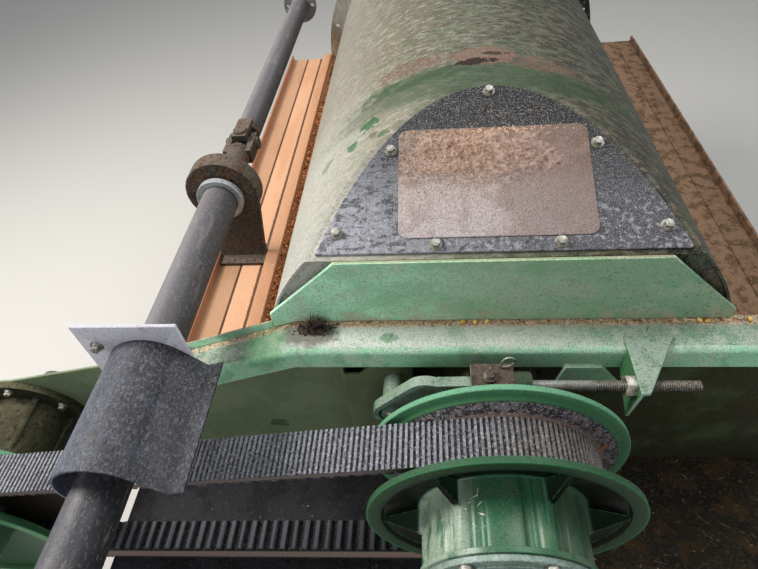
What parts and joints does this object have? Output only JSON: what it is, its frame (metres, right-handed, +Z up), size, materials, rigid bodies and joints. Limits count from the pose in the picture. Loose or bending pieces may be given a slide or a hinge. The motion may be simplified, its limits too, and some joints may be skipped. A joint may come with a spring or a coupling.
{
  "type": "combine rotor housing front end with variable-speed belt drive",
  "caption": "End section of a crop rotor housing with a variable-speed sheave and belt, a tension adjuster and a guarded drive shaft beside it.",
  "frame": {"origin": "centre of the rear ring flange, on the rotor axis", "axes": "+Y backward along the rotor axis into the machine, +Z up, +X towards the sheave's free side"},
  "size_m": [1.698, 1.771, 0.832],
  "materials": {
    "housing_paint": "dusty",
    "rail_paint": "dusty and rusty",
    "cover_paint": "dusty",
    "plate_paint": "dusty",
    "fastener_steel": "dusty",
    "wall_paint": "dusty",
    "green_paint": "semi-gloss",
    "ledge_paint": "dusty",
    "cone_paint": "worn",
    "cast_paint": "painted",
    "belt_rubber": "worn",
    "bare_steel": "plain",
    "strap_steel": "dusty",
    "forged_steel": "greasy",
    "dark_paint": "dusty",
    "ring_metal": "matt",
    "bearing_iron": "rusty"
  },
  "bodies": {
    "housing": {"housing_upper": "housing_paint", "housing_lower": "housing_paint", "rail_left": "rail_paint", "rail_right": "rail_paint", "rear_flange": "housing_paint", "end_wall": "housing_paint", "flat_panel": "housing_paint", "access_cover": "cover_paint", "cover_plate": "plate_paint", "cover_bolts": "fastener_steel", "bulkhead": "wall_paint", "apron": "green_paint", "cross_beam": "ledge_paint", "support_plate": "wall_paint", "adjuster_arm": "green_paint", "clevis": "strap_steel", "clevis_pin": "fastener_steel", "adjuster_rod": "fastener_steel", "adjuster_nut": "fastener_steel", "gusset": "green_paint", "driven_bearing": "cast_paint", "driver_bearing": "cast_paint", "belt": "belt_rubber", "belt_pan": "dark_paint", "shaft_guard": "dark_paint", "guard_bracket": "dark_paint", "shaft_bearing": "bearing_iron", "shaft_bracket": "bearing_iron"},
    "driven_sheave": {"driven_shaft": "bare_steel", "driven_fixed_half": "cone_paint", "rotor_coupling": "bare_steel"},
    "driven_half": {"driven_moving_half": "green_paint", "spring_cup": "green_paint", "cup_bolts": "fastener_steel"},
    "driver_sheave": {"driver_shaft": "bare_steel", "driver_fixed_half": "cone_paint"},
    "driver_half": {"driver_moving_half": "green_paint", "actuator_cap": "green_paint"},
    "drive_shaft": {"front_yoke": "forged_steel", "drive_tube": "dark_paint", "shaft_ring": "ring_metal", "cardan_joint": "forged_steel", "rear_tube": "dark_paint"}
  },
  "joints": [
    {"name": "driven_sheave_spin", "type": "hinge", "parent": "housing", "child": "driven_sheave", "pos_m": [0, -1.31, 0], "axis": [0, 1, 0], "continuous": true},
    {"name": "driven_half_slide", "type": "slide", "parent": "driven_sheave", "child": "driven_half", "axis": [0, -1, 0], "range_m": [0, 0.025], "stiffness_N_per_m": 8000},
    {"name": "driver_sheave_spin", "type": "hinge", "parent": "housing", "child": "driver_sheave", "pos_m": [-0.92, -1.31, -0.16533], "axis": [0, 1, 0], "continuous": true},
    {"name": "driver_half_slide", "type": "slide", "parent": "driver_sheave", "child": "driver_half", "axis": [0, -1, 0], "range_m": [0, 0.02]},
    {"name": "drive_shaft_spin", "type": "hinge", "parent": "housing", "child": "drive_shaft", "pos_m": [-0.488, -0.966, 0.178], "axis": [0, 1, 0], "continuous": true}
  ],
  "couplings": [
    {"joint": "driver_sheave_spin", "follows": "driven_sheave_spin", "ratio": 0.9936}
  ]
}
